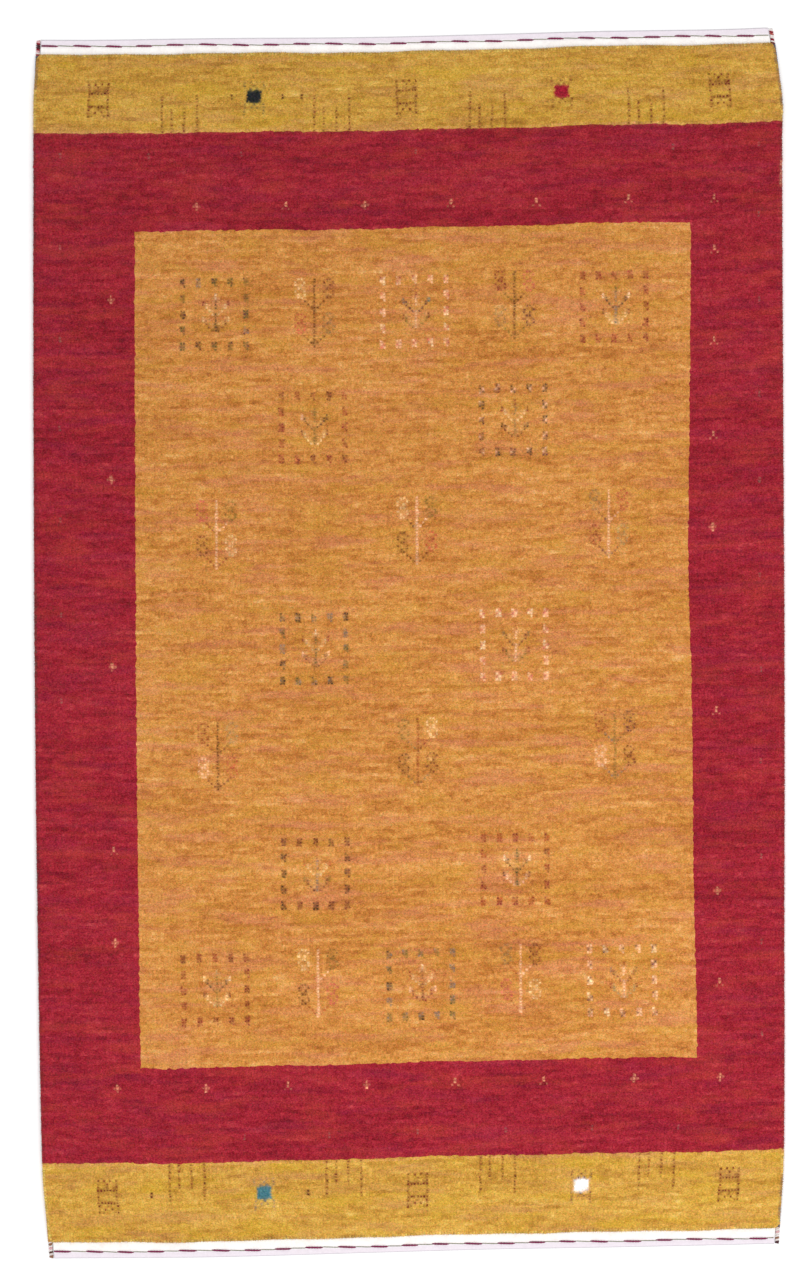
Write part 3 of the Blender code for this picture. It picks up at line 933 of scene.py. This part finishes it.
def cottonWeave():
    # undyed cotton ends in plain weave: matt, slightly ribbed, with painted shade along the fold where the
    # end turns under
    material, tree = newMaterial("wovenCotton")
    threads = addNode(tree, "UVMap", uv_map="threads").outputs["UV"]
    warp, weft = (addNode(tree, "TexWave", {
        "Vector": threads, "Scale": 1.0, "Distortion": 0.6, "Detail": 1.0,
    }, wave_type="BANDS", bands_direction=way).outputs["Fac"] for way in ("X", "Y"))
    crossing = computed(tree, "MULTIPLY", warp, weft)
    place = addNode(tree, "TexCoord").outputs["Object"]
    wear = addNode(tree, "TexNoise", {"Vector": place, "Scale": 60.0, "Detail": 4.0, "Roughness": 0.65})
    spots = addNode(tree, "TexNoise", {"Vector": place, "Scale": 420.0, "Detail": 2.0})
    toneRamp = addNode(tree, "ValToRGB", {"Fac": wear.outputs[0]})
    setStops(toneRamp, ((0.25, "#F0E8E6"), (0.42, "#FAF6F4"), (0.58, "#FEFCFA"), (0.80, "#FFFFFC")))
    shadow = remapped(tree, crossing, *bandSettings["crossingShade"])
    grain = remapped(tree, spots.outputs[0], *bandSettings["grain"])
    # painted shade: the turned end is tinted lavender-grey where the fold curves away from the light, and
    # dark grey along the fold's outer side, where a shadow line falls
    fromFold = addNode(tree, "SeparateXYZ", {"Vector": threads}).outputs["Y"]
    perMetre = waveTurn / bandSettings["threadPitch"]
    cottonWithFoldShade = toneRamp.outputs[0]
    for hexCode, start, stop, amount in bandSettings["paintedFoldShade"]:
        share = remapped(tree, fromFold, start * perMetre, stop * perMetre, amount, 0.0)
        cottonWithFoldShade = blended(tree, share, cottonWithFoldShade, linear(hexCode))
    addSurface(tree, {
        "Base Color": scaled(tree, cottonWithFoldShade, computed(tree, "MULTIPLY", shadow, grain)),
        "Normal": bumped(tree, crossing, 0.6, 0.0005), "Roughness": 0.88,
        "Specular IOR Level": 0.2, "Sheen Weight": 0.05,
    })
    return material


cotton = cottonWeave()


def bandRows(band):
    # from the hem's free edge, round the fold, to the flat cloth under the pile:
    # distance in from the fold, height of the cloth's middle, and the way its outer face looks
    thick, clearance = bandSettings["thick"], bandSettings["clearance"]
    middle = thick / 2
    bend, outer = middle + clearance / 2, thick + clearance / 2
    hemSteps, flatSteps = bandSettings["hemSteps"], bandSettings["flatSteps"]
    rows = []
    for step in range(hemSteps):
        distance = bandSettings["hemDepth"] * (1 - step / hemSteps) + bandSettings["freeEdge"]
        rows.append((distance, middle, (0.0, -1.0)))
    for step in range(bandSettings["foldSteps"] + 1):
        angle = -math.pi / 2 + math.pi * step / bandSettings["foldSteps"]
        out, up = math.cos(angle), math.sin(angle)
        rows.append((outer - bend * out, outer + bend * up, (out, up)))
    top = outer + bend
    flatEnd = band - bandSettings["rampBefore"]
    for step in range(1, flatSteps + 1):
        rows.append((mix(outer, flatEnd, step / flatSteps), top, (0.0, 1.0)))
    rows.append((band + bandSettings["rampUnder"] * 0.5, mix(top, middle, 0.55), (0.0, 1.0)))
    rows.append((band + bandSettings["rampUnder"], middle, (0.0, 1.0)))
    return rows


def wovenBand(end):
    head = end == "head"
    rows = bandRows(rugPlan["headBand"] if head else rugPlan["footBand"])
    columns = bandSettings["columns"]
    bm = bmesh.new()
    bmesh.ops.create_grid(bm, x_segments=columns, y_segments=len(rows) - 1, size=0.5)
    raiseVerts(bmesh.ops.extrude_face_region(bm, geom=list(bm.faces))["geom"], 1)
    mesh = meshFrom(bm, "wovenBand" + end.capitalize())
    grid = readPoints(mesh)
    column = np.round((grid[:, 0] + 0.5) * columns).astype(int)
    number = np.round((grid[:, 1] + 0.5) * (len(rows) - 1)).astype(int)
    upper = grid[:, 2] > 0.5
    distance, height = (np.array([row[place] for row in rows])[number] for place in (0, 1))
    out, up = (np.array([row[2][place] for row in rows])[number] for place in (0, 1))
    across = column / columns
    zero = np.zeros_like(distance)
    if head:
        x, y = rugPoint(across, 1.0 + zero, bandSettings["sideInset"], zero, distance)
    else:
        x, y = rugPoint(across, zero, bandSettings["sideInset"], distance, zero)
    way = 1 if head else -1
    # warp ends bunch in pairs, so the cloth is faintly ribbed
    rib = bandSettings["rib"] * ((column % 2) * 2 - 1) * np.where(upper, 1, 0)
    half = bandSettings["thick"] / 2 * np.where(upper, 1, -1) + rib * 0.5
    y = y + way * out * half
    z = height + up * half
    writePoints(mesh, np.column_stack([x, y, z]))
    faceOutward(mesh)
    steps = np.hypot(np.diff([row[0] for row in rows]), np.diff([row[1] for row in rows]))
    run = np.concatenate([[0], np.cumsum(steps)])
    cloth = np.column_stack([across * bandSettings["width"], run[number]])
    writeMap(mesh, "threads", cloth[cornerVertices(mesh)] / bandSettings["threadPitch"] * waveTurn)
    both = cloth.copy()
    both[:, 1] += np.where(upper, 0, bandSettings["bakeGap"])
    bakeMap(mesh, both)
    piece = addPiece("wovenBand" + end.capitalize(), mesh, [cotton])
    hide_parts("ground_weave")


for end in ("head", "foot"):
    wovenBand(end)
print("bands woven")

# Yarns: a ring of corners is swept along each yarn's path and closed at both ends

yarnTwist = 0.0024  # metres of yarn to one unit of its stripes


def spunWool(name, dark, light, twist=1.6):
    # two-ply wool or goat hair, hard spun: matt, with the ply's slant showing as fine stripes
    material, tree = newMaterial(name)
    run = addNode(tree, "UVMap", uv_map="run").outputs["UV"]
    strands = addNode(tree, "TexWave", {
        "Vector": run, "Scale": twist, "Distortion": 1.2, "Detail": 2.0,
    }, wave_type="BANDS", bands_direction="DIAGONAL")
    place = addNode(tree, "TexCoord").outputs["Object"]
    hairs = addNode(tree, "TexNoise", {"Vector": place, "Scale": 500.0, "Detail": 3.0})
    tone = computed(tree, "MULTIPLY", strands.outputs["Fac"], hairs.outputs[0])
    ramp = addNode(tree, "ValToRGB", {"Fac": tone})
    setStops(ramp, ((0.05, dark), (0.55, light)))
    own = addNode(tree, "Attribute", attribute_name="dye").outputs
    dyed = scaled(tree, own["Color"], remapped(tree, tone, 0.0, 0.6, 0.6, 1.15))
    addSurface(tree, {
        "Base Color": blended(tree, own["Alpha"], ramp.outputs[0], dyed),
        "Normal": bumped(tree, tone, 0.5, 0.0003), "Roughness": 0.85, "Specular IOR Level": 0.2,
        "Sheen Weight": 0.15, "Sheen Roughness": 0.5,
    })
    return material


def sweepYarn(name, path, sides, section, material, dyes=None):
    # path is points along the yarn, section gives a radius for each ring and corner
    path = np.asarray(path, dtype=float)
    rings = len(path)
    bm = bmesh.new()
    bmesh.ops.create_grid(bm, x_segments=sides, y_segments=rings - 1, size=0.5)
    mesh = meshFrom(bm, name)
    grid = readPoints(mesh)
    side = np.round((grid[:, 0] + 0.5) * sides).astype(int)
    ring = np.round((grid[:, 1] + 0.5) * (rings - 1)).astype(int)
    ahead = np.gradient(path, axis=0)
    ahead /= np.linalg.norm(ahead, axis=1)[:, None]
    acrossWay = np.cross(ahead, (0.0, 0.0, 1.0))
    acrossWay /= np.maximum(np.linalg.norm(acrossWay, axis=1), 1e-9)[:, None]
    upWay = np.cross(acrossWay, ahead)
    run = np.concatenate([[0], np.cumsum(np.linalg.norm(np.diff(path, axis=0), axis=1))])
    angle = tau * side / sides
    radius = section(ring, angle, run[ring])
    points = path[ring] + (np.cos(angle) * radius)[:, None] * acrossWay[ring]
    points = points + (np.sin(angle) * radius)[:, None] * upWay[ring]
    writePoints(mesh, points)
    corners = cornerVertices(mesh)
    writeMap(mesh, "run", np.column_stack([run[ring] / yarnTwist, side / sides])[corners])
    bakeMap(mesh, np.column_stack([run[ring], side / sides]))
    layer = mesh.attributes.new("dye", "FLOAT_COLOR", "CORNER")
    values = np.zeros((len(corners), 4))
    if dyes is not None:
        values = dyes(run[ring], ring)[corners]
    layer.data.foreach_set("color", values.ravel())
    faceOutward(mesh, True)
    return addPiece(name, mesh, [material])


def twoPly(radius, lay):
    # a section of two round strands that turn once in every lay
    return lambda ring, angle, run: radius[ring] * (0.80 + 0.20 * np.cos(2 * (angle - tau * run / lay)))


lineSettings = {
    "inset": 0.0080, "wander": 0.0006, "wave": 0.153, "pitch": 0.0390, "step": 0.0013,
    "plumRadius": 0.00145, "oliveRadius": 0.00060, "plumFloat": 0.0015, "oliveFloat": 0.0005, "lay": 0.0042,
    "ends": 0.0070, "clothTop": 0.0033, "cross": 0.0003,
}
plumYarn = spunWool("plumYarn", "#4E1834", "#9C345E")
oliveYarn = spunWool("oliveYarn", "#4E4E42", "#A0A078")


def twinedLine(end):
    # two yarns twined through the band: the plum one floats in fat dashes, the olive one between them
    edge, way = (headEdge, -1) if end == "head" else (footEdge, 1)
    y = edge(0.0)
    start, stop = leftEdge(y) + lineSettings["ends"], rightEdge(y) - lineSettings["ends"]
    x = np.arange(start, stop, lineSettings["step"])
    y = edge(x) + way * lineSettings["inset"]
    y = y + lineSettings["wander"] * np.sin(tau * x / lineSettings["wave"])
    phase = tau * (x - start) / lineSettings["pitch"] + 0.25 * np.sin(x * 37.0)
    for yarnName, material, radius, rise, turn, flip in (
        ("Plum", plumYarn, lineSettings["plumRadius"], lineSettings["plumFloat"], 0.0, 1),
        ("Olive", oliveYarn, lineSettings["oliveRadius"], lineSettings["oliveFloat"], math.pi, -1),
    ):
        lift = np.tanh(3 * np.sin(phase + turn))
        z = lineSettings["clothTop"] + radius * 0.70 - rise * (1 - lift) / 1.3
        sway = lineSettings["cross"] * np.cos(phase) * flip
        swell = radius * (0.70 + 0.30 * lift)
        path = np.column_stack([x, y + sway, z])
        name = "twinedLine" + end.capitalize() + yarnName
        piece = sweepYarn(name, path, 8, twoPly(swell, lineSettings["lay"]), material)
        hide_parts("twined_line_" + end)


for end in ("head", "foot"):
    twinedLine(end)

cordSettings = {
    "radius": 0.0025, "inset": 0.0032, "outward": 0.0005, "wrapPitch": 0.0028, "ringsPerWrap": 3,
    "sides": 10, "clear": 0.0001,
    # where each colour of overcast yarn starts, from the foot
    "left": ((-0.80, "mustard"), (-0.62, "madder"), (0.62, "mustard"), (0.70, "slateBlue")),
    "right": (
        (-0.80, "mustard"), (-0.72, "slateBlue"), (-0.66, "madder"),
        (0.60, "mustard"), (0.645, "slateBlue"),
    ),
}
overcastDyes = {"mustard": "#C9924A", "madder": "#A03A40", "slateBlue": "#5E5A68"}
overcastYarn = spunWool("overcastYarn", "#7A4A2A", "#C08A50", 1.0)


def selvedge(side):
    edge, sign = (leftEdge, 1) if side == "left" else (rightEdge, -1)
    x = float(edge(0.0))
    start = float(footEdge(x)) + rugPlan["footBand"]
    stop = float(headEdge(x)) - rugPlan["headBand"]
    step = cordSettings["wrapPitch"] / cordSettings["ringsPerWrap"]
    y = np.arange(start, stop, step)
    toEnd = np.minimum(stop - y, y - start)
    inset = cordSettings["inset"] - cordSettings["outward"] * (1 - eased(toEnd / rugPlan["drawnInReach"]))
    height = cordSettings["radius"] + cordSettings["clear"]
    path = np.column_stack([edge(y) + sign * inset, y, np.full_like(y, height)])

    def wound(ring, angle, run):
        ridge = np.cos(tau * run / cordSettings["wrapPitch"] + angle)
        return cordSettings["radius"] * (0.90 + 0.10 * ridge)

    starts = np.array([row[0] for row in cordSettings[side]])
    colours = np.array([linear(overcastDyes[row[1]]) for row in cordSettings[side]])

    def dyes(run, ring):
        place = y[ring] + 0.01 * np.sin(ring * 0.9)
        return colours[np.clip(np.searchsorted(starts, place, side="right") - 1, 0, len(starts) - 1)]

    name = "selvedge" + side.capitalize()
    piece = sweepYarn(name, path, cordSettings["sides"], wound, overcastYarn, dyes)
    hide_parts("selvedge_" + side)


for side in ("left", "right"):
    selvedge(side)

wrapSettings = {
    "turns": 8, "width": 0.0056, "height": 0.0038, "yarn": 0.00125, "pointsPerTurn": 22,
    "short": 0.0008, "inset": 0.0031, "clear": 0.0002, "lay": 0.004,
    # yarn of each turn from the pile out to the band's edge
    "head_left": ("rose", "bone", "petal", "cherry", "plum", "plum", "cherry", "petal"),
    "head_right": ("wine", "bone", "cherry", "bone", "bone", "rose", "cherry", "bone"),
    "foot_left": ("bone", "cocoa", "bone", "petal", "bone", "walnut", "bone", "cocoa"),
    "foot_right": ("bone", "bone", "petal", "bone", "bone", "cocoa", "bone", "plum"),
}
wrapYarn = spunWool("wrappingYarn", "#8A3038", "#E8C8B0", 1.2)


def cornerWrap(end, side):
    edge, way = (headEdge, 1) if end == "head" else (footEdge, -1)
    sideEdge, sign = (leftEdge, 1) if side == "left" else (rightEdge, -1)
    band = rugPlan["headBand"] if end == "head" else rugPlan["footBand"]
    x = float(sideEdge(0.0))
    inner = float(edge(x)) - way * band
    outer = float(edge(sideEdge(inner))) - way * wrapSettings["short"]
    turns, perTurn = wrapSettings["turns"], wrapSettings["pointsPerTurn"]
    t = np.linspace(0, 1, turns * perTurn + 1)
    y = mix(inner, outer, t)
    middle = sideEdge(y) + sign * wrapSettings["inset"]
    turn = tau * turns * t
    radius = wrapSettings["yarn"]
    wide, high = wrapSettings["width"] / 2 - radius, wrapSettings["height"] / 2 - radius
    centre = wrapSettings["height"] / 2 + wrapSettings["clear"]
    uneven = wrapSettings["clear"] * np.sin(turn * 0.37)
    path = np.column_stack([middle + wide * np.cos(turn), y + uneven, centre + high * np.sin(turn)])
    key = wrapSettings[end + "_" + side]
    colours = np.array([linear(yarns[name]) for name in key])

    def dyes(run, ring):
        return colours[np.clip((t[ring] * turns).astype(int), 0, turns - 1)]

    name = "cornerWrap" + end.capitalize() + side.capitalize()
    spun = twoPly(np.full(len(t), radius), wrapSettings["lay"])
    piece = sweepYarn(name, path, 8, spun, wrapYarn, dyes)
    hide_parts("corner_wrap_" + end + "_" + side)


for end in ("head", "foot"):
    for side in ("left", "right"):
        cornerWrap(end, side)
print("yarns wound")

# The floor, the light and the camera

floorSettings = {"size": 12.0, "height": -0.0003}


def paperFloor():
    material, tree = newMaterial("paleFloor")
    place = addNode(tree, "TexCoord").outputs["Object"]
    grain = addNode(tree, "TexNoise", {"Vector": place, "Scale": 3.0, "Detail": 2.0})
    ramp = addNode(tree, "ValToRGB", {"Fac": grain.outputs[0]})
    setStops(ramp, ((0.0, "#F8F8F8"), (1.0, "#FBFBFB")))
    addSurface(tree, {"Base Color": ramp.outputs[0], "Roughness": 1.0, "Specular IOR Level": 0.0})
    bm = bmesh.new()
    bmesh.ops.create_grid(bm, x_segments=1, y_segments=1, size=floorSettings["size"] / 2)
    bmesh.ops.translate(bm, verts=bm.verts, vec=(0, 0, floorSettings["height"]))
    mesh = meshFrom(bm, "floor")
    mesh.materials.append(material)
    floor = bpy.data.objects.new("floor", mesh)
    bpy.context.scene.collection.objects.link(floor)


paperFloor()

lightSettings = {"world": 0.76, "key": 66.0, "keySize": 2.4, "keyAt": (0.3, -0.5, 3.3)}

world = bpy.data.worlds.new("studio")
world.use_nodes = True
bpy.context.scene.world = world
world.node_tree.nodes["Background"].inputs["Color"].default_value = (1, 1, 1, 1)
world.node_tree.nodes["Background"].inputs["Strength"].default_value = lightSettings["world"]

keyData = bpy.data.lights.new("key", "AREA")
keyData.energy = lightSettings["key"]
keyData.size = lightSettings["keySize"]
keyLight = bpy.data.objects.new("key", keyData)
keyLight.location = lightSettings["keyAt"]
bpy.context.scene.collection.objects.link(keyLight)
towards = -keyLight.location
keyLight.rotation_euler = towards.to_track_quat("-Z", "Y").to_euler()

photo = {"width": 807, "height": 1280, "metresPerPixel": 0.0012295, "originX": 409, "originY": 643}
cameraHeight = 3.7
cameraData = bpy.data.cameras.new("camera")
cameraData.sensor_width = 36.0
seenHeight = photo["height"] * photo["metresPerPixel"]
cameraData.lens = cameraData.sensor_width * (cameraHeight - pileSettings["height"]) / seenHeight
camera = bpy.data.objects.new("camera", cameraData)
camera.location = (
    (photo["width"] / 2 - photo["originX"]) * photo["metresPerPixel"],
    (photo["originY"] - photo["height"] / 2) * photo["metresPerPixel"],
    cameraHeight,
)
bpy.context.scene.collection.objects.link(camera)
bpy.context.scene.camera = camera
bpy.context.scene.view_settings.view_transform = "Standard"

triangles = sum(
    len(piece.data.loops) - 2 * len(piece.data.polygons)
    for piece in bpy.data.objects if piece.type == "MESH" and piece.name not in frame["nodes"]
)
print("triangles added:", triangles)
